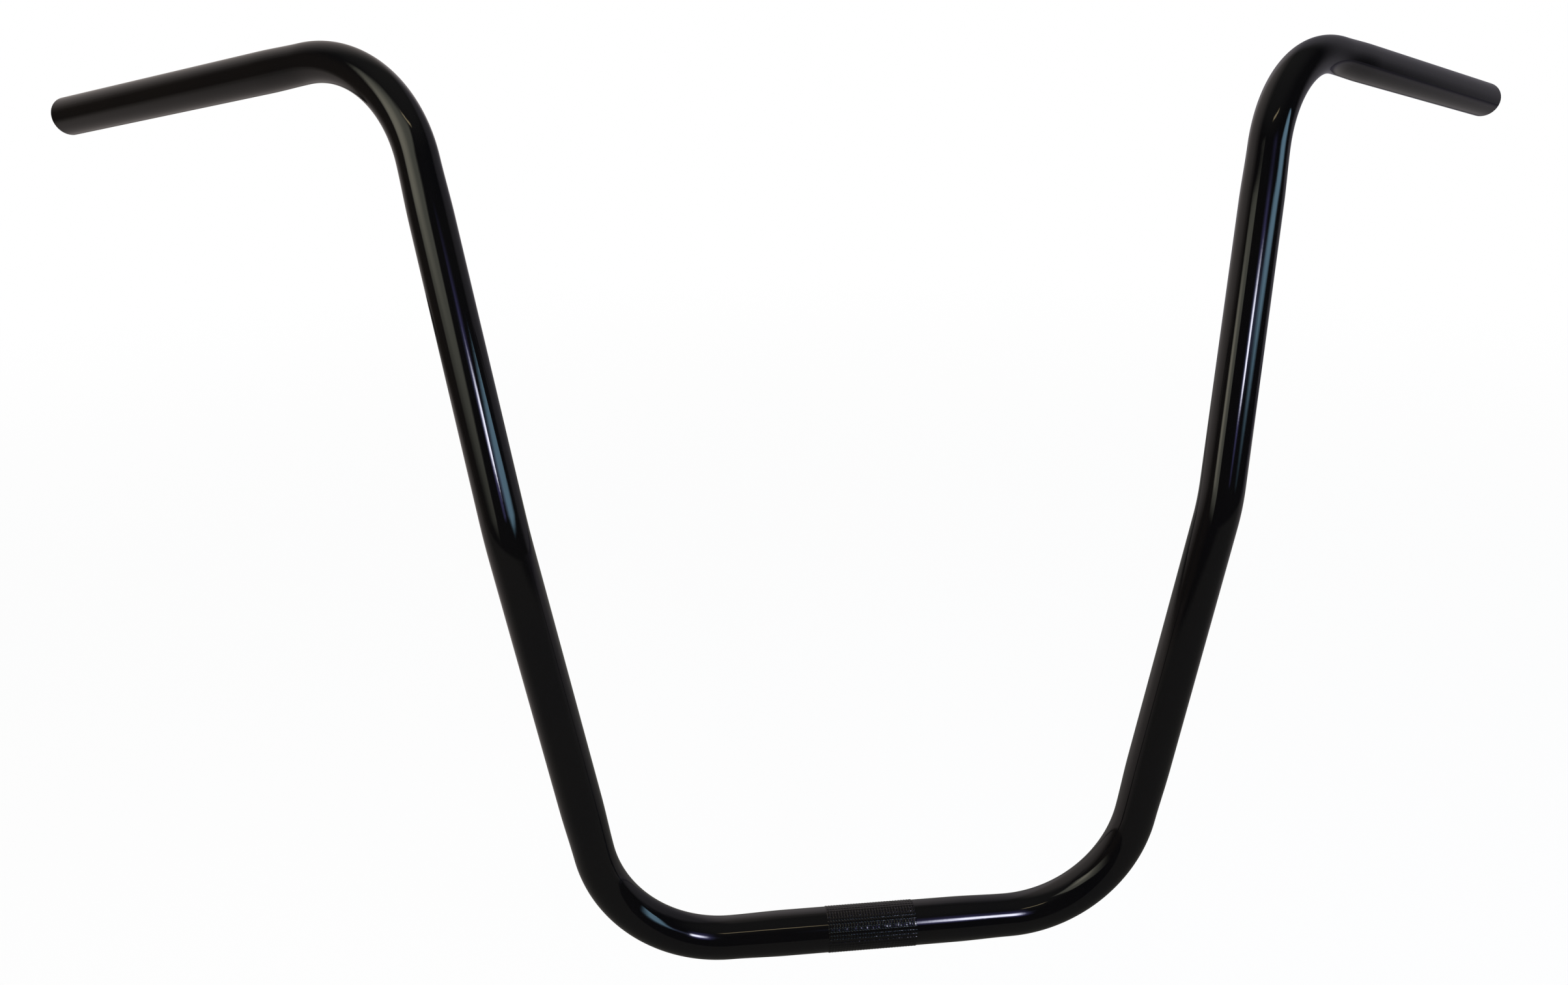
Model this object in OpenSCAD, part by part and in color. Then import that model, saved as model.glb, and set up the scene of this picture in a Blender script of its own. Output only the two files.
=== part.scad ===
// Ape hanger handlebar: one steel tube, bent alike to both sides of a knurled clamp band.
// The origin is the middle of the clamp run. X runs along it, Z is up, and Y is the way
// that the grips sweep back to the rider.

/* [Tube] */
// Outside diameter of the tube, the same from grip to grip
tube_d = 22.2; // [19:0.1:32]
// Wall of the tube
tube_wall = 2; // [1.2:0.1:3.5]
// Radius of every bend, measured to the middle of the tube
bend_r = 71; // [50:1:100]
// How much the radius of the tube draws in round a tight bend
tight_draw = 0.4; // [0.1:0.05:0.6]
// Length over which a straight run narrows into a tight bend
draw_run = 14; // [6:1:18]
// Bevel on the outer edge of each open end
end_bevel = 0.6; // [0.2:0.1:1]

/* [Straight runs] */
// Straight run of the clamp, between the two bottom bends
clamp_run = 152; // [100:1:260]
// Straight run of a lower leg, from the bottom bend to the knee
lower_run = 170; // [60:1:260]
// Straight run of an upper leg, from the knee to the top bend
upper_run = 179; // [60:1:260]
// Straight run that takes a grip and the controls
grip_run = 196; // [130:1:240]

/* [Bends] */
// Angle of a bottom bend, which turns the clamp run up into a lower leg
lower_bend = 79; // [60:0.5:95]
// Angle of a knee, which leans the upper leg back
knee_bend = 16; // [4:0.5:40]
// Angle of a top bend, which turns the upper leg out into the grip
top_bend = 79.5; // [50:0.5:95]
// Turn of the tube in its bender between the bottom bend and the knee
knee_turn = 94.5; // [75:0.5:110]
// Turn of the tube in its bender between the knee and the top bend
top_turn = 56; // [30:0.5:80]

/* [Knurled band] */
// Length of the knurled band in the middle of the clamp run
band_length = 48; // [20:1:60]
// Rows of teeth round the band
tooth_rows = 40; // [24:1:50]
// Spacing of the teeth along a row
tooth_pitch = 1.54; // [1:0.02:2.5]
// Height of the tooth crests over the plain tube
tooth_rise = 0.25; // [0.15:0.05:0.4]
// Depth of the band's root below the plain tube
groove_sink = 0.2; // [0.1:0.05:0.4]
// Depth of the cross grooves that part a row into teeth
cross_sink = 0.35; // [0.15:0.05:0.4]
// Width of a tooth crest, as a share of the spacing of the teeth
crest_share = 0.3; // [0.15:0.05:0.5]

/* [Hidden] */
$fn = 96;
seat = 0.5; // how far a straight run reaches over the bend at its end
seat_step = 0.05; // how far the bend's surfaces lie inside the wall of the run there
tube_r = tube_d / 2;
bore_r = tube_r - tube_wall;
crest_r = tube_r + tooth_rise;
root_r = tube_r - groove_sink;
row_angle = 360 / tooth_rows;
row_seat = 0.3; // how far a row of teeth reaches down into the wall
row_foot = 0.02; // how far its sides stand up straight before they slope
row_gap = 0.07; // bare root between two rows
row_w = 2 * root_r * tan(row_angle / 2) - row_gap;
crest_w = 2 * crest_r * tan(row_angle / 2) * crest_share;
comb_step = 0.01; // how far the comb that cuts the cross grooves stands over the crests
teeth = floor(band_length / tooth_pitch);
row_length = teeth * tooth_pitch;
plain_run = (clamp_run - band_length) / 2;

// A straight run of tube up the Z axis, with the rest of the tube as its child. Each of its
// two ends may draw in, and may reach over the bend that follows there
module straight(length, draws, seats = [seat, seat]) {
    surface = [
        if (seats[0] > 0) [-draws[0], -seats[0]],
        [-draws[0], 0],
        [0, draw_run],
        [0, length - draw_run],
        [-draws[1], length],
        if (seats[1] > 0) [-draws[1], length + seats[1]]
    ];
    rotate_extrude()
        polygon([
            for (point = surface) point + [tube_r, 0],
            for (i = [len(surface) - 1:-1:0]) surface[i] + [bore_r, 0]
        ]);
    translate([0, 0, length]) children();
}

// A bend that starts up the Z axis and leans over to +X, with the rest of the tube as its child
module bend(angle, draw) {
    translate([bend_r, 0, 0]) {
        rotate([90, 0, 180])
            rotate_extrude(angle = angle)
                translate([bend_r, 0])
                    difference() {
                        circle(tube_r - draw - seat_step);
                        circle(bore_r - draw + seat_step);
                    }
        rotate([0, angle, 0])
            translate([-bend_r, 0, 0])
                children();
    }
}

// The last stretch of a grip: the outer edge of the open end is bevelled
module open_end() {
    rotate_extrude()
        polygon([
            [bore_r, 0], [tube_r, 0], [tube_r - end_bevel, end_bevel], [bore_r, end_bevel]
        ]);
}

// One side of the bar, from the end of the clamp run to the open end of the grip
module side() {
    translate([clamp_run / 2, 0, 0])
        rotate([0, 90, 0])
            rotate([0, 0, 180])
                bend(lower_bend, tight_draw)
                    straight(lower_run, [tight_draw, 0])
                        rotate([0, 0, -knee_turn])
                            bend(knee_bend, 0)
                                straight(upper_run, [0, tight_draw])
                                    rotate([0, 0, -top_turn])
                                        bend(top_bend, tight_draw)
                                            straight(grip_run - end_bevel, [tight_draw, 0], [seat, 0])
                                                open_end();
}

// One row of teeth along the Z axis, on the +X side: a ridge, cut across by a comb
module tooth_row() {
    intersection() {
        linear_extrude(row_length, center = true)
            polygon([
                [root_r - row_seat, -row_w / 2], [root_r + row_foot, -row_w / 2],
                [crest_r, -crest_w / 2], [crest_r, crest_w / 2],
                [root_r + row_foot, row_w / 2], [root_r - row_seat, row_w / 2]
            ]);
        rotate([90, 0, 0])
            linear_extrude(2 * row_w, center = true)
                polygon([
                    [root_r - 2 * row_seat, -row_length / 2],
                    for (tooth = [0:teeth - 1])
                        let (middle = (tooth + 0.5) * tooth_pitch - row_length / 2)
                            each [
                                [crest_r - cross_sink, middle - tooth_pitch / 2],
                                [crest_r + comb_step, middle - crest_share * tooth_pitch / 2],
                                [crest_r + comb_step, middle + crest_share * tooth_pitch / 2]
                            ],
                    [crest_r - cross_sink, row_length / 2],
                    [root_r - 2 * row_seat, row_length / 2]
                ]);
    }
}

// The knurled band: rows of teeth that stand on a root just below the plain tube
module band() {
    difference() {
        union() {
            cylinder(r = root_r, h = band_length, center = true);
            for (row = [0:tooth_rows - 1])
                rotate([0, 0, row * row_angle])
                    tooth_row();
        }
        cylinder(r = bore_r, h = 2 * band_length, center = true);
    }
}

// The clamp run, with the knurled band between two plain stretches
module clamp_zone() {
    rotate([0, 90, 0]) {
        band();
        for (end = [0, 1])
            mirror([0, 0, end])
                translate([0, 0, band_length / 2])
                    straight(plain_run, [0, tight_draw], [0, seat]);
    }
}

module handlebar() {
    color("#1c1c1e") {
        clamp_zone();
        side();
        mirror([1, 0, 0]) side();
    }
}

handlebar();
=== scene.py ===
import math

import bmesh
import bpy
from mathutils import Matrix, Vector


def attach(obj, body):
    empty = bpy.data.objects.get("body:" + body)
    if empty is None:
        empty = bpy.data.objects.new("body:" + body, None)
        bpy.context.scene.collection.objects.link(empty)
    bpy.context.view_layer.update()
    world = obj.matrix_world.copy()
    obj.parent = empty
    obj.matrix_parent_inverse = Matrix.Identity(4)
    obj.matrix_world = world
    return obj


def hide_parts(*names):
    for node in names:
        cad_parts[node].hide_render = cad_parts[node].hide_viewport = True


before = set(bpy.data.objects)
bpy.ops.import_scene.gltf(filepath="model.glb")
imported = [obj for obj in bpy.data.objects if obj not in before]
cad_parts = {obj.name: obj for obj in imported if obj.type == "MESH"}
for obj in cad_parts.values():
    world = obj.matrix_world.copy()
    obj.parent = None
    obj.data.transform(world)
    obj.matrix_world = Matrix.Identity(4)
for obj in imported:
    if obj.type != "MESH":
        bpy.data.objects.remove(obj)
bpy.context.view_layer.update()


# Helpers for node trees and objects

def addNode(tree, kind, inputs=None, **settings):
    node = tree.nodes.new(kind)
    for name, value in settings.items():
        setattr(node, name, value)
    for key, value in (inputs or {}).items():
        if isinstance(value, bpy.types.NodeSocket):
            tree.links.new(value, node.inputs[key])
        else:
            node.inputs[key].default_value = value
    return node


def calc(tree, operation, *values):
    node = addNode(tree, "ShaderNodeMath", dict(enumerate(values)), operation=operation)
    return node.outputs[0]


def vectorCalc(tree, operation, first, second, scale=None):
    inputs = {0: first} if second is None else {0: first, 1: second}
    if scale is not None:
        inputs["Scale"] = scale
    return addNode(tree, "ShaderNodeVectorMath", inputs, operation=operation).outputs[0]


def newObject(name, data):
    made = bpy.data.objects.new(name, data)
    bpy.context.scene.collection.objects.link(made)
    return made


# The bar's centre line, as a tube bender's list of runs, bends and turns

barSizes = {
    "tubeDiameter": 0.0222,
    "wall": 0.002,
    "bendRadius": 0.071,
    "clampRun": 0.152,
    "lowerBend": 79.0,
    "lowerRun": 0.170,
    "kneeTurn": 94.5,
    "kneeBend": 16.0,
    "upperRun": 0.179,
    "topTurn": 56.0,
    "topBend": 79.5,
    "gripRun": 0.195995,    # 5 microns short of 196 mm, to stay inside the CAD box
    "tightDraw": 0.00052,   # how far the wall draws in round a tight bend
    "drawRun": 0.030,       # length over which it does so
    "endBevel": 0.0006,
    "bendStep": 1.5,        # degrees between two rings of a bend
    "drawSteps": 12,
    "boreStep": 4,          # the bore takes every fourth ring
    "crispAngle": 30.0,     # degrees of fold from which an edge of the plain tube is crisp
}

bandSizes = {
    "length": 0.048,
    "rows": 40,             # rows of teeth round the band
    "teeth": 31,            # teeth in a row
    "pitch": 0.00154,
    "rise": 0.00025,
    "sink": 0.0001,         # depth of the root, which the paint half fills
    "crossSink": 0.00025,   # depth of the cross grooves, also partly filled
    "crestShare": 0.5,      # share of the pitch, with the paint that broadens the crests
    "crispAngle": 12.0,     # degrees of fold from which a crest's long edge is crisp
}

# Rings of the band lie on its root, in a cross groove or at the edge of the crests
ringKinds = {"root": 1.0, "cross": 2.0, "crest": 3.0}
rowCorners = 3.0            # corners of a ring to a row: its foot and the two edges of its crest
weldGap = 0.000001          # corners closer than this become one
levelGap = 0.00001          # an edge runs round the band if its ends differ less than this in X


def smoothStep(share):
    return share * share * (3 - 2 * share)


def walkSide(sizes):
    rings = []              # centre, two directions across the tube, share of the draw
    place = Vector((sizes["clampRun"] / 2, 0, 0))
    lean, across, ahead = Vector((0, 0, 1)), Vector((0, -1, 0)), Vector((1, 0, 0))
    turned = 0.0            # how far the bend plane stands turned from the rings' own frame

    def ring(centre, x, y, draw):
        back = math.radians(turned)
        first = x * math.cos(back) - y * math.sin(back)
        second = x * math.sin(back) + y * math.cos(back)
        rings.append((centre.copy(), first, second, draw))

    def bend(angle, draw):
        nonlocal place, lean, ahead
        middle = place + lean * sizes["bendRadius"]
        steps = max(2, round(angle / sizes["bendStep"]))
        for step in range(1, steps + 1):
            turn = math.radians(angle) * step / steps
            newLean = lean * math.cos(turn) - ahead * math.sin(turn)
            ring(middle - newLean * sizes["bendRadius"], newLean, across, draw)
        turn = math.radians(angle)
        lean, ahead = (lean * math.cos(turn) - ahead * math.sin(turn),
                       ahead * math.cos(turn) + lean * math.sin(turn))
        place = middle - lean * sizes["bendRadius"]

    def straight(length, startDraw, endDraw):
        nonlocal place
        run, steps = sizes["drawRun"], sizes["drawSteps"]
        stops = [(run * step / steps, startDraw * (1 - smoothStep(step / steps)))
                 for step in range(1, steps + 1)] if startDraw else [(run, 0.0)]
        stops += ([(length - run * (1 - step / steps), endDraw * smoothStep(step / steps))
                   for step in range(0, steps + 1)] if endDraw else [(length, 0.0)])
        for distance, draw in stops:
            ring(place + ahead * distance, lean, across, draw)
        place = place + ahead * length

    def turn(angle):
        nonlocal lean, across, turned
        amount = math.radians(-angle)
        lean, across = (lean * math.cos(amount) + across * math.sin(amount),
                        across * math.cos(amount) - lean * math.sin(amount))
        turned -= angle

    bend(sizes["lowerBend"], 1.0)
    straight(sizes["lowerRun"], 1.0, 0.0)
    turn(sizes["kneeTurn"])
    bend(sizes["kneeBend"], 0.0)
    straight(sizes["upperRun"], 0.0, 1.0)
    turn(sizes["topTurn"])
    bend(sizes["topBend"], 1.0)
    straight(sizes["gripRun"] - sizes["endBevel"], 1.0, 0.0)
    place = place + ahead * sizes["endBevel"]
    ring(place, lean, across, 0.0)
    return rings


def wallStations(sizes, band):
    right = walkSide(sizes)
    clampEnd = sizes["clampRun"] / 2
    half = band["length"] / 2
    run, steps = sizes["drawRun"], sizes["drawSteps"]
    up, front = Vector((0, 0, 1)), Vector((0, -1, 0))
    clampHalf = [(half, 0.0)] + [(clampEnd - run * (1 - step / steps), smoothStep(step / steps))
                                 for step in range(0, steps + 1)]
    clampRight = [(Vector((x, 0, 0)), up, front, draw) for x, draw in clampHalf]
    right = clampRight + right
    flip = Matrix.Scale(-1, 3, Vector((1, 0, 0)))
    left = [(flip @ centre, flip @ first, flip @ second, draw)
            for centre, first, second, draw in reversed(right)]
    stations = []           # with skin or bore, bevelled end, and the ring's part in the band

    def add(ring, bore=0.0, bevel=0.0, band=0.0):
        stations.append((*ring, bore, bevel, band))

    for number, ring in enumerate(left):
        add(ring, bevel=1.0 if number == 0 else 0.0)
    rowEnd = band["teeth"] * band["pitch"] / 2
    root, cross, crest = ringKinds["root"], ringKinds["cross"], ringKinds["crest"]
    marks = [(-half, root), (-rowEnd, root)]
    for number in range(band["teeth"]):
        start = number * band["pitch"] - rowEnd
        marks += [(start + share * band["pitch"], kind)
                  for share, kind in ((0, cross), ((1 - band["crestShare"]) / 2, crest),
                                      ((1 + band["crestShare"]) / 2, crest))]
    marks += [(rowEnd, cross), (rowEnd, root), (half, root)]
    for x, kind in marks:
        add((Vector((x, 0, 0)), up, front, 0.0), band=kind)
    for number, ring in enumerate(right):
        add(ring, bevel=1.0 if number == len(right) - 1 else 0.0)
    bore = left + right
    keep = [ring for number, ring in enumerate(bore)
            if number % sizes["boreStep"] == 0 or number == len(bore) - 1]
    for ring in reversed(keep):
        add(ring, bore=1.0)
    stations.append(stations[0])
    return stations


def stationMesh(stations):
    mesh = bpy.data.meshes.new("wallStations")
    mesh.from_pydata([station[0] for station in stations], [], [])
    for index, name in ((1, "sideOne"), (2, "sideTwo")):
        layer = mesh.attributes.new(name, "FLOAT_VECTOR", "POINT")
        for item, station in zip(layer.data, stations):
            item.vector = station[index]
    for index, name in ((3, "draw"), (4, "bore"), (5, "bevel"), (6, "band")):
        layer = mesh.attributes.new(name, "FLOAT", "POINT")
        for item, station in zip(layer.data, stations):
            item.value = station[index]
    return mesh


def tubeTree():
    tree = bpy.data.node_groups.new("bentTube", "GeometryNodeTree")
    face = tree.interface
    face.new_socket("Geometry", in_out="INPUT", socket_type="NodeSocketGeometry")
    for name, kind in (("Tube Radius", "Float"), ("Wall", "Float"), ("Tight Draw", "Float"),
                       ("End Bevel", "Float"), ("Tooth Rows", "Int"), ("Tooth Rise", "Float"),
                       ("Groove Sink", "Float"), ("Cross Sink", "Float"),
                       ("Crest Share", "Float"), ("Tube Crisp Angle", "Float"),
                       ("Crest Crisp Angle", "Float"), ("Finish", "Material")):
        face.new_socket(name, in_out="INPUT", socket_type="NodeSocket" + kind)
    face.new_socket("Geometry", in_out="OUTPUT", socket_type="NodeSocketGeometry")
    given = addNode(tree, "NodeGroupInput").outputs

    # a grid with a line of corners for each ring, which is then wrapped round the tube
    count = addNode(tree, "GeometryNodeAttributeDomainSize", {"Geometry": given["Geometry"]})
    columns = calc(tree, "ADD", calc(tree, "MULTIPLY", given["Tooth Rows"], rowCorners), 1.0)
    grid = addNode(tree, "GeometryNodeMeshGrid", {
        "Size X": 1.0, "Size Y": 1.0,
        "Vertices X": count.outputs["Point Count"], "Vertices Y": columns})

    index = addNode(tree, "GeometryNodeInputIndex").outputs[0]
    station = calc(tree, "FLOOR", calc(tree, "DIVIDE", calc(tree, "ADD", index, 0.5), columns))
    column = calc(tree, "SUBTRACT", index, calc(tree, "MULTIPLY", station, columns))
    row = calc(tree, "FLOOR", calc(tree, "DIVIDE", calc(tree, "ADD", column, 0.5), rowCorners))
    part = calc(tree, "SUBTRACT", column, calc(tree, "MULTIPLY", row, rowCorners))
    onCrest = calc(tree, "GREATER_THAN", part, 0.5)
    pastCrest = calc(tree, "GREATER_THAN", part, 1.5)
    slope = calc(tree, "DIVIDE", calc(tree, "SUBTRACT", 1.0, given["Crest Share"]), 2.0)
    place = calc(tree, "ADD", calc(tree, "SUBTRACT", row, 0.5),
                 calc(tree, "ADD", calc(tree, "MULTIPLY", onCrest, slope),
                      calc(tree, "MULTIPLY", pastCrest, given["Crest Share"])))
    angle = calc(tree, "DIVIDE", calc(tree, "MULTIPLY", place, math.tau), given["Tooth Rows"])

    def ofStation(name, kind):
        if name == "position":
            field = addNode(tree, "GeometryNodeInputPosition").outputs[0]
        else:
            field = addNode(tree, "GeometryNodeInputNamedAttribute", {"Name": name},
                            data_type=kind).outputs["Attribute"]
        return addNode(tree, "GeometryNodeSampleIndex", {
            "Geometry": given["Geometry"], "Value": field, "Index": station},
            data_type=kind, domain="POINT").outputs[0]

    centre = ofStation("position", "FLOAT_VECTOR")
    sideOne = ofStation("sideOne", "FLOAT_VECTOR")
    sideTwo = ofStation("sideTwo", "FLOAT_VECTOR")
    band = ofStation("band", "FLOAT")
    inBand = calc(tree, "GREATER_THAN", band, ringKinds["root"] - 0.5)
    tooth = calc(tree, "MULTIPLY",
                 calc(tree, "GREATER_THAN", band, ringKinds["crest"] - 0.5), onCrest)
    cross = calc(tree, "MULTIPLY",
                 calc(tree, "COMPARE", band, ringKinds["cross"], 0.1), onCrest)

    # the tube's radius at each corner, and from it the corner's place
    radius = given["Tube Radius"]
    for name, size in (("bore", "Wall"), ("draw", "Tight Draw"), ("bevel", "End Bevel")):
        radius = calc(tree, "SUBTRACT", radius,
                      calc(tree, "MULTIPLY", ofStation(name, "FLOAT"), given[size]))
    radius = calc(tree, "SUBTRACT", radius, calc(tree, "MULTIPLY", inBand, given["Groove Sink"]))
    height = calc(tree, "ADD", given["Tooth Rise"], given["Groove Sink"])
    radius = calc(tree, "ADD", radius, calc(tree, "MULTIPLY", tooth, height))
    radius = calc(tree, "ADD", radius, calc(tree, "MULTIPLY", cross, calc(
        tree, "SUBTRACT", height, given["Cross Sink"])))
    one = vectorCalc(tree, "SCALE", sideOne, None,
                     calc(tree, "MULTIPLY", radius, calc(tree, "COSINE", angle)))
    two = vectorCalc(tree, "SCALE", sideTwo, None,
                     calc(tree, "MULTIPLY", radius, calc(tree, "SINE", angle)))
    spot = vectorCalc(tree, "ADD", centre, vectorCalc(tree, "ADD", one, two))
    kept = addNode(tree, "GeometryNodeStoreNamedAttribute", {
        "Geometry": grid.outputs["Mesh"], "Name": "knurled", "Value": inBand},
        data_type="FLOAT", domain="POINT")
    placed = addNode(tree, "GeometryNodeSetPosition", {
        "Geometry": kept.outputs["Geometry"], "Position": spot})
    merged = addNode(tree, "GeometryNodeMergeByDistance", {
        "Geometry": placed.outputs["Geometry"], "Distance": weldGap})
    outward = addNode(tree, "GeometryNodeFlipFaces", {"Mesh": merged.outputs["Geometry"]})

    # smooth all over, but for the rims, the crests' long edges and what runs round the band
    smooth = addNode(tree, "GeometryNodeSetShadeSmooth", {
        "Geometry": outward.outputs["Mesh"], "Shade Smooth": True}, domain="FACE")
    edge, fold = addNode(tree, "GeometryNodeInputMeshEdgeAngle").outputs
    knurled = addNode(tree, "GeometryNodeInputNamedAttribute", {"Name": "knurled"},
                      data_type="FLOAT").outputs["Attribute"]
    rim = calc(tree, "MULTIPLY", calc(tree, "GREATER_THAN", edge, calc(
        tree, "RADIANS", given["Tube Crisp Angle"])), calc(tree, "LESS_THAN", knurled, 0.25))
    crestEdge = calc(tree, "GREATER_THAN", fold, calc(
        tree, "RADIANS", given["Crest Crisp Angle"]))
    ends = addNode(tree, "GeometryNodeInputMeshEdgeVertices").outputs
    apart = vectorCalc(tree, "SUBTRACT", ends["Position 1"], ends["Position 2"])
    along = addNode(tree, "ShaderNodeSeparateXYZ", {0: apart}).outputs["X"]
    across = calc(tree, "MULTIPLY", calc(tree, "GREATER_THAN", knurled, 0.75),
                  calc(tree, "COMPARE", along, 0.0, levelGap))
    crisp = calc(tree, "MAXIMUM", rim, calc(tree, "MAXIMUM", crestEdge, across))
    sharp = addNode(tree, "GeometryNodeSetShadeSmooth", {
        "Geometry": smooth.outputs["Geometry"], "Selection": crisp, "Shade Smooth": False},
        domain="EDGE")
    real = addNode(tree, "GeometryNodeRealizeInstances", {
        "Geometry": sharp.outputs["Geometry"]})
    painted = addNode(tree, "GeometryNodeSetMaterial", {
        "Geometry": real.outputs["Geometry"], "Material": given["Finish"]})
    addNode(tree, "NodeGroupOutput", {"Geometry": painted.outputs["Geometry"]})
    return tree


def growTube(name, source, tree, values):
    holder = newObject(name, source)
    modifier = holder.modifiers.new("shape", "NODES")
    modifier.node_group = tree
    for item in tree.interface.items_tree:
        if item.item_type == "SOCKET" and item.in_out == "INPUT" and item.name in values:
            modifier[item.identifier] = values[item.name]
    graph = bpy.context.evaluated_depsgraph_get()
    mesh = bpy.data.meshes.new_from_object(holder.evaluated_get(graph), depsgraph=graph)
    mesh.name = name
    holder.modifiers.remove(modifier)
    holder.data = mesh
    return holder


# The black paint

paint = {
    "thin": (0.0032, 0.0029, 0.0028, 1.0),      # where the coat is thinner and a little browner
    "thick": (0.0018, 0.0018, 0.0024, 1.0),
    "patchScale": 26.0,     # thin and thick patches to a metre
    "gloss": (0.032, 0.052),    # roughness where the coat flowed out best and least
    "peelScale": 420.0,     # waves of the paint's orange peel to a metre
    "peelDepth": 0.00002,
    "bandPeel": 0.0004,     # added on the knurled band, where no two teeth are coated alike
    "peelStrength": 0.3,
    "flowSpread": (0.3, 0.7),   # values of the patches between which the gloss changes
    "refraction": 1.5,
}


def blackPaint():
    material = bpy.data.materials.new("glossBlackPaint")
    material.use_nodes = True
    tree = material.node_tree
    tree.nodes.clear()
    place = addNode(tree, "ShaderNodeTexCoord").outputs["Object"]
    peel = addNode(tree, "ShaderNodeTexNoise", {
        "Vector": place, "Scale": paint["peelScale"], "Detail": 1.0, "Roughness": 0.4})
    knurled = addNode(tree, "ShaderNodeAttribute", attribute_name="knurled").outputs["Fac"]
    depth = calc(tree, "ADD", paint["peelDepth"],
                 calc(tree, "MULTIPLY", knurled, paint["bandPeel"]))
    bump = addNode(tree, "ShaderNodeBump", {
        "Height": peel.outputs["Fac"], "Strength": paint["peelStrength"],
        "Distance": depth})
    patches = addNode(tree, "ShaderNodeTexNoise", {
        "Vector": place, "Scale": paint["patchScale"], "Detail": 2.0, "Roughness": 0.5})
    coat = addNode(tree, "ShaderNodeMix", {     # its sockets 6 and 7 are the two colours
        "Factor": patches.outputs["Fac"], 6: paint["thin"], 7: paint["thick"]},
        data_type="RGBA")
    first, last = paint["flowSpread"]
    best, least = paint["gloss"]
    flow = addNode(tree, "ShaderNodeMapRange", {
        "Value": patches.outputs["Fac"], "From Min": first, "From Max": last,
        "To Min": best, "To Max": least})
    shader = addNode(tree, "ShaderNodeBsdfPrincipled", {
        "Base Color": coat.outputs[2], "Roughness": flow.outputs["Result"],
        "IOR": paint["refraction"], "Normal": bump.outputs["Normal"]})
    addNode(tree, "ShaderNodeOutputMaterial", {"Surface": shader.outputs["BSDF"]})
    return material


finish = blackPaint()
stations = wallStations(barSizes, bandSizes)
bentTube = growTube("bentTube", stationMesh(stations), tubeTree(), {
    "Tube Radius": barSizes["tubeDiameter"] / 2,
    "Wall": barSizes["wall"],
    "Tight Draw": barSizes["tightDraw"],
    "End Bevel": barSizes["endBevel"],
    "Tooth Rows": bandSizes["rows"],
    "Tooth Rise": bandSizes["rise"],
    "Groove Sink": bandSizes["sink"],
    "Cross Sink": bandSizes["crossSink"],
    "Crest Share": bandSizes["crestShare"],
    "Tube Crisp Angle": barSizes["crispAngle"],
    "Crest Crisp Angle": bandSizes["crispAngle"],
    "Finish": finish,
})
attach(bentTube, "root")
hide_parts("handlebar")
print("bar:", len(stations), "rings,", len(bentTube.data.polygons), "faces")


# Floor, surroundings and lamps

studio = {
    "floorHeight": -0.28,
    "floorRadius": 12.0,
    "floorCorners": 96,
    "floorColour": (0.92, 0.92, 0.92, 1.0),
    "floorWhite": (0.85, 1.0),      # share of plain white in the floor's look, near and far
    "floorFade": (0.8, 4.0),        # distances between which the one turns into the other
    "worldLight": 0.85,
}


def seenRays(tree):
    rays = addNode(tree, "ShaderNodeLightPath").outputs
    both = calc(tree, "ADD", rays["Is Camera Ray"], rays["Is Glossy Ray"])
    total = addNode(tree, "ShaderNodeMath", {0: both, 1: rays["Is Transmission Ray"]},
                    operation="ADD", use_clamp=True)
    return total.outputs[0]


def softStep(tree, value, start, end, low=0.0, high=1.0):
    ramp = addNode(tree, "ShaderNodeMapRange", {
        "Value": value, "From Min": start, "From Max": end, "To Min": low, "To Max": high},
        interpolation_type="SMOOTHSTEP")
    return ramp.outputs["Result"]


def newMaterial(name):
    material = bpy.data.materials.new(name)
    material.use_nodes = True
    material.node_tree.nodes.clear()
    return material, material.node_tree


def makeFloor():
    bpy.ops.mesh.primitive_circle_add(vertices=studio["floorCorners"],
                                      radius=studio["floorRadius"], fill_type="NGON")
    floor = bpy.context.object
    floor.name = "paleFloor"
    floor.data.transform(Matrix.Translation((0, 0, studio["floorHeight"])))
    material, tree = newMaterial("paleFloor")
    matt = addNode(tree, "ShaderNodeBsdfDiffuse", {"Color": studio["floorColour"]})
    plain = addNode(tree, "ShaderNodeEmission", {"Color": (1, 1, 1, 1), "Strength": 1.0})
    place = addNode(tree, "ShaderNodeTexCoord").outputs["Object"]
    away = addNode(tree, "ShaderNodeVectorMath", {0: place}, operation="LENGTH")
    white = softStep(tree, away.outputs["Value"], *studio["floorFade"], *studio["floorWhite"])
    share = calc(tree, "MULTIPLY", seenRays(tree), white)
    mixed = addNode(tree, "ShaderNodeMixShader", {0: share, 1: matt.outputs[0],
                                                  2: plain.outputs[0]})
    addNode(tree, "ShaderNodeOutputMaterial", {"Surface": mixed.outputs[0]})
    floor.data.materials.append(material)


def makeWorld():
    world = bpy.data.worlds.new("paleSurround")
    bpy.context.scene.world = world
    world.use_nodes = True
    tree = world.node_tree
    tree.nodes.clear()
    lit = addNode(tree, "ShaderNodeBackground", {"Color": (1, 1, 1, 1),
                                                 "Strength": studio["worldLight"]})
    seen = addNode(tree, "ShaderNodeBackground", {"Color": (1, 1, 1, 1), "Strength": 1.0})
    mixed = addNode(tree, "ShaderNodeMixShader", {0: seenRays(tree), 1: lit.outputs[0],
                                                  2: seen.outputs[0]})
    addNode(tree, "ShaderNodeOutputWorld", {"Surface": mixed.outputs[0]})


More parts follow.
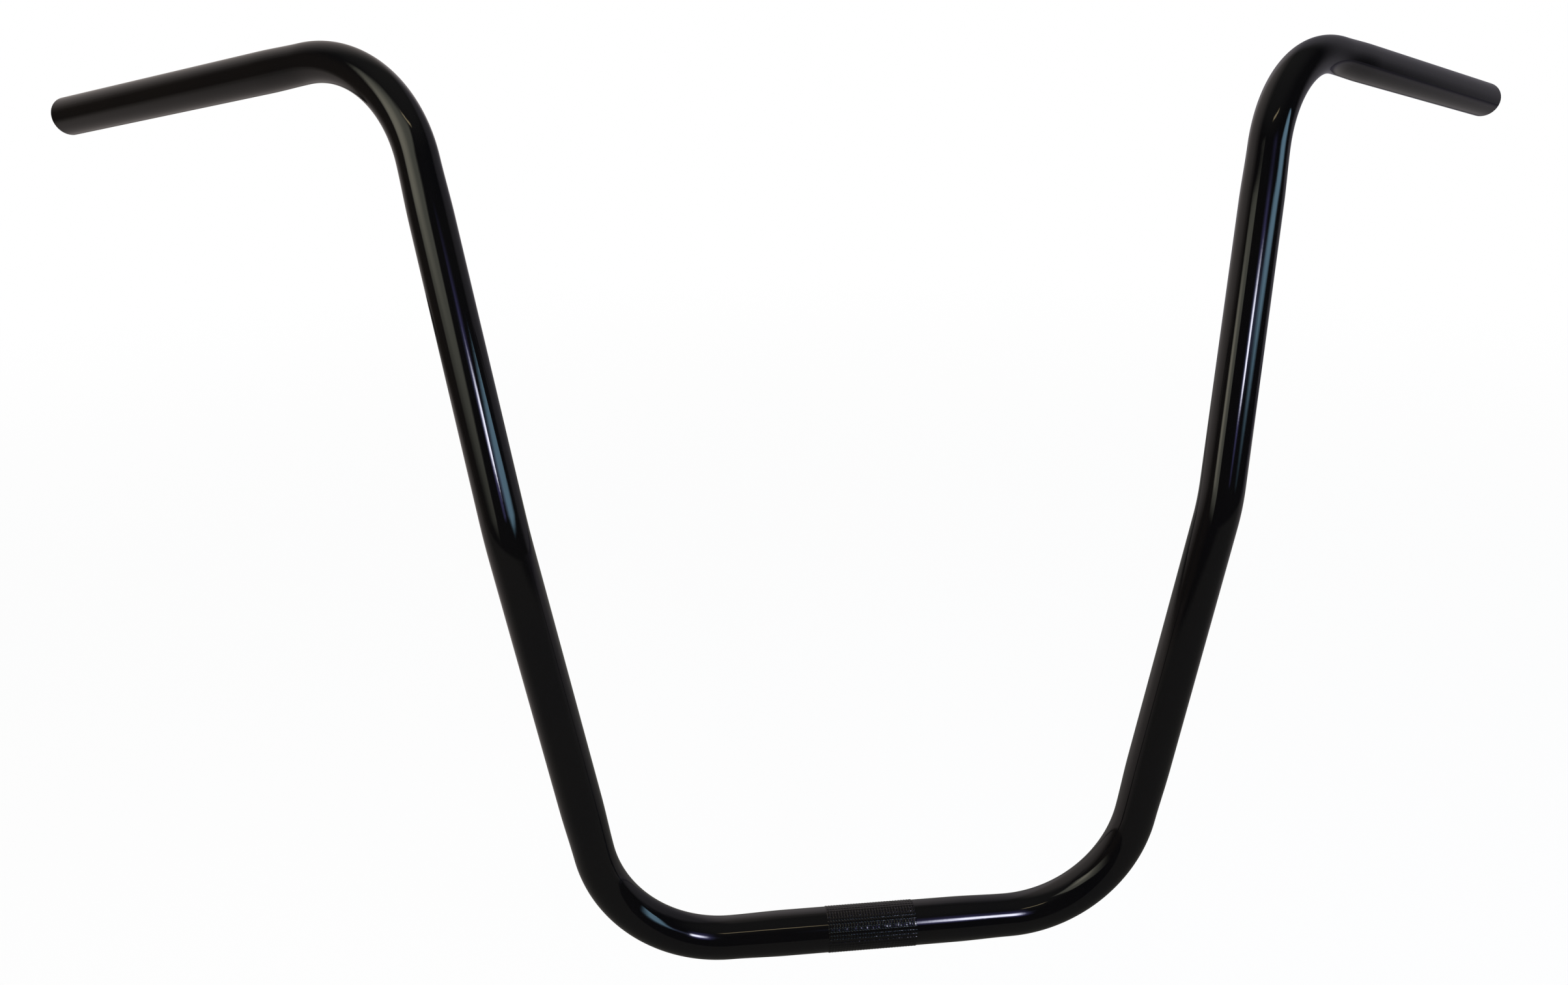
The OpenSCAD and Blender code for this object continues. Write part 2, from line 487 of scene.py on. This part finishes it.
# The lamps: place, the directions of width and height, and the share of the lamp that fades
# at the two ends of its width and of its height
lamps = {
    "window": {
        "place": (0.352, -1.019, 0.751), "across": (-0.989, -0.076, 0.124),
        "along": (-0.042, 0.965, 0.258), "size": (0.275, 0.46),
        "soft": (0.12, 0.6, 0.30, 0.46), "colour": (0.88, 0.89, 1.0), "brightness": 24.0},
    "windowGlow": {
        "place": (0.36, -1.08, 0.76), "across": (-0.989, -0.076, 0.124),
        "along": (-0.042, 0.965, 0.258), "size": (0.44, 1.15),
        "soft": (0.5, 0.5, 0.5, 0.5), "colour": (0.38, 0.36, 1.0), "brightness": 2.6},
    "windowWall": {
        "place": (0.60, -1.10, 0.77), "across": (-0.989, -0.076, 0.124),
        "along": (-0.042, 0.965, 0.258), "size": (1.1, 0.5),
        "soft": (0.3, 0.3, 0.5, 0.5), "colour": (0.45, 0.55, 1.0), "brightness": 0.75},
    "coolPanel": {
        "place": (2.124, -1.224, 1.064), "across": (-0.861, -0.389, -0.328),
        "along": (-0.119, -0.473, 0.873), "size": (2.3, 1.18),
        "soft": (0.2, 0.28, 0.42, 0.35), "colour": (0.42, 0.74, 1.0), "brightness": 3.9},
    "warmPanel": {
        "place": (-0.590, -0.310, 0.520), "across": (-0.930, 0.293, 0.222),
        "along": (0.338, 0.446, 0.828), "size": (0.68, 0.86),
        "soft": (0.1, 0.26, 0.52, 0.15), "colour": (0.99, 1.0, 0.82), "brightness": 1.1},
    "warmCore": {
        "place": (-0.600, -0.245, 0.615), "across": (-0.930, 0.293, 0.222),
        "along": (0.338, 0.446, 0.828), "size": (0.56, 0.46),
        "soft": (0.45, 0.45, 0.5, 0.4), "colour": (1.0, 0.92, 0.72), "brightness": 1.6},
    "yellowLamp": {
        "place": (-0.03, -1.30, 2.28), "across": (1.0, 0.0, 0.0),
        "along": (0.0, -0.83, 0.56), "size": (1.0, 0.5),
        "soft": (0.3, 0.3, 0.4, 0.4), "colour": (1.0, 0.82, 0.50), "brightness": 3.6},
}

# Painted reflections for the paint to mirror: a glowing dome, no lamp, dark in front and paler
# behind, and a glowing plane under the bar that paints the grey of a table. Camera, shadows and
# matt surfaces don't see them
surround = {
    "middle": (0.0, 0.0, 0.3),
    "radius": 3.2,
    "segments": 64,
    "bands": 32,
    "base": (0.006, 0.006, 0.006),
    "patches": (            # direction, degrees to the start and end of the fade, and tone
        ((-0.47, 0.81, 0.34), 8.0, 56.0, (0.50, 0.45, 0.43)),
        ((0.62, 0.77, 0.10), 36.0, 53.0, (0.20, 0.19, 0.215)),
        ((-1.0, 0.0, 0.0), 5.0, 45.0, (0.05, 0.036, 0.025)),
        ((0.0, 0.0, 1.0), 5.0, 55.0, (0.08, 0.08, 0.075)),
    ),
}

# A glowing plane, no lamp, that paints the grey reflection of a table in the bar's paint
tableReflection = {
    "height": -0.27,
    "reach": 3.4,           # past the dome's radius, so that no pale floor shows at its foot
    "base": (0.006, 0.006, 0.006),
    # the patches are tones of the painted table reflection
    "patches": (            # middle, radii at the start and end of the fade, and tone
        ((-0.1, 0.3), 2.0, 2.7, (0.095, 0.092, 0.082)),
        ((0.0, 2.2), 0.9, 2.4, (0.13, 0.122, 0.12)),
        ((-1.2, 0.8), 0.5, 1.4, (0.24, 0.205, 0.2)),
        ((1.5, 0.7), 0.5, 1.3, (0.10, 0.09, 0.10)),
        ((3.4, 1.2), 1.0, 2.4, (0.085, 0.078, 0.105)),
        ((-3.4, 0.3), 1.0, 2.3, (0.09, 0.072, 0.062)),
    ),
}


def softEdge(tree, place, start, end):
    low = softStep(tree, place, 0.0, start)
    high = softStep(tree, place, 1.0, 1.0 - end)
    return calc(tree, "MULTIPLY", low, high)


def makeLamp(name, values):
    lamp = bpy.data.lights.new(name, "AREA")
    lamp.shape = "RECTANGLE"
    width, height = values["size"]
    lamp.size, lamp.size_y = width, height
    lamp.energy = values["brightness"] * math.pi * width * height
    lamp.color = values["colour"]
    holder = newObject(name, lamp)
    x, y = Vector(values["across"]).normalized(), Vector(values["along"]).normalized()
    z = x.cross(y).normalized()
    left, right, bottom, top = values["soft"]
    toBar = Vector(surround["middle"]) - Vector(values["place"])
    if z.dot(toBar) > 0:    # a lamp shines along its -Z
        x, z = -x, -z
        left, right = right, left
    turn = Matrix((x, z.cross(x), z)).transposed()
    holder.matrix_world = Matrix.Translation(values["place"]) @ turn.to_4x4()
    holder.visible_camera = False
    lamp.use_nodes = True
    tree = lamp.node_tree
    tree.nodes.clear()
    spot = addNode(tree, "ShaderNodeSeparateXYZ", {
        0: addNode(tree, "ShaderNodeNewGeometry").outputs["Parametric"]}).outputs
    share = calc(tree, "MULTIPLY", softEdge(tree, spot["X"], left, right),
                 softEdge(tree, spot["Y"], bottom, top))
    glow = addNode(tree, "ShaderNodeEmission", {"Strength": share})
    addNode(tree, "ShaderNodeOutputLight", {0: glow.outputs[0]})


# A glowing piece, no lamp, that only reflections see: it paints a reflection
def mirrorOnly(name, mesh, tree, tone):
    glow = addNode(tree, "ShaderNodeEmission", {"Color": tone, "Strength": 1.0})
    addNode(tree, "ShaderNodeOutputMaterial", {"Surface": glow.outputs[0]})
    piece = newObject(name, mesh)
    piece.visible_camera = False
    piece.visible_diffuse = False
    piece.visible_shadow = False


def addTone(tree, total, share, tone):
    return vectorCalc(tree, "ADD", total, vectorCalc(tree, "SCALE", tone, None, share))


# The dome glows with painted reflection patches of a room round the bar; it is no lamp
def makeSurround():
    sphere = bmesh.new()
    bmesh.ops.create_uvsphere(sphere, u_segments=surround["segments"],
                              v_segments=surround["bands"], radius=surround["radius"])
    bmesh.ops.translate(sphere, vec=surround["middle"], verts=sphere.verts)
    mesh = bpy.data.meshes.new("paintedRoomReflection")
    sphere.to_mesh(mesh)
    sphere.free()
    material, tree = newMaterial("paintedRoomReflection")
    mesh.materials.append(material)
    place = addNode(tree, "ShaderNodeTexCoord").outputs["Object"]
    fromMiddle = vectorCalc(tree, "SUBTRACT", place, surround["middle"])
    away = vectorCalc(tree, "NORMALIZE", fromMiddle, None)
    total = vectorCalc(tree, "SCALE", surround["base"], None, 1.0)
    for direction, start, end, tone in surround["patches"]:
        near = addNode(tree, "ShaderNodeVectorMath", {0: away, 1: Vector(direction).normalized()},
                       operation="DOT_PRODUCT").outputs["Value"]
        share = softStep(tree, near, math.cos(math.radians(end)), math.cos(math.radians(start)))
        total = addTone(tree, total, share, tone)
    mirrorOnly("paintedRoomReflection", mesh, tree, total)


# Builds the glowing plane that paints a table's reflection, seen only in reflections
def makeTableReflection():
    reach = tableReflection["reach"]
    mesh = bpy.data.meshes.new("paintedTableReflection")
    mesh.from_pydata([(x * reach, y * reach, tableReflection["height"]) for x, y in (
        (-1, -1), (1, -1), (1, 1), (-1, 1))], [], [(0, 1, 2, 3)])
    material, tree = newMaterial("paintedTableReflection")
    mesh.materials.append(material)
    place = addNode(tree, "ShaderNodeTexCoord").outputs["Object"]
    total = vectorCalc(tree, "SCALE", tableReflection["base"], None, 1.0)
    for middle, start, end, tone in tableReflection["patches"]:
        away = addNode(tree, "ShaderNodeVectorMath", {
            0: place, 1: (*middle, tableReflection["height"])}, operation="DISTANCE").outputs["Value"]
        total = addTone(tree, total, softStep(tree, away, end, start), tone)
    mirrorOnly("paintedTableReflection", mesh, tree, total)


makeFloor()
makeWorld()
for name, values in lamps.items():
    makeLamp(name, values)
makeSurround()
makeTableReflection()
print("studio:", len(lamps), "lamps, floor and surroundings")


# Camera

view = {
    "place": (-0.10411, -0.53356, 0.44848),
    "turn": (77.38, 0.532, -5.782),
    "lens": 26.492,
    "sensor": 36.0,
    "shift": (0.00873, -0.09848),
    "clip": (0.01, 50.0),
}


def makeCamera():
    camera = bpy.data.cameras.new("camera")
    camera.sensor_width = view["sensor"]
    camera.lens = view["lens"]
    camera.shift_x, camera.shift_y = view["shift"]
    camera.clip_start, camera.clip_end = view["clip"]
    holder = newObject("camera", camera)
    holder.location = view["place"]
    holder.rotation_euler = [math.radians(angle) for angle in view["turn"]]
    bpy.context.scene.camera = holder


makeCamera()
bpy.context.scene.view_settings.view_transform = "Standard"
print("camera: lens", view["lens"], "mm")
